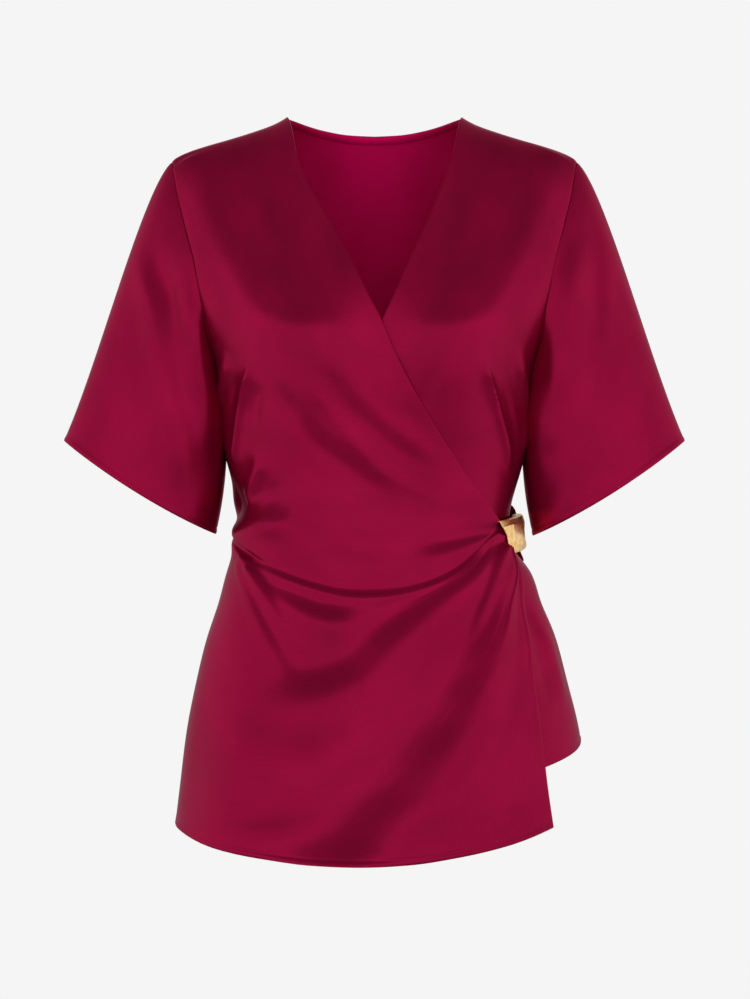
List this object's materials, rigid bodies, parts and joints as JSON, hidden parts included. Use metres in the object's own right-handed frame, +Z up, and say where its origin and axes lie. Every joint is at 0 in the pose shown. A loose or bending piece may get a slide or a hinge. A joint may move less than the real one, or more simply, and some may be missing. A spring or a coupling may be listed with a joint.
{
  "type": "wrap top",
  "caption": "Hollow satin wrap top as worn, with V-neck, short wide sleeves, one front gathered across the waist into a gold clasp at the side.",
  "frame": {"origin": "midway between the two neck points, the inner ends of the shoulder seams, on the level where the garment is held up", "axes": "+X towards the wearer's left, -Y towards the front, +Z up"},
  "size_m": [0.5994, 0.2666, 0.7086],
  "materials": {
    "satin": "dark crimson satin, glossy outside and duller inside",
    "gold": "gold-coloured cast metal, crumpled and polished"
  },
  "bodies": {
    "root": {"front_over": "satin", "front_under": "satin", "back": "satin", "back_neck_binding": "satin", "sleeve_right": "satin", "sleeve_left": "satin", "side_tab": "satin", "buckle": "gold"}
  },
  "joints": []
}
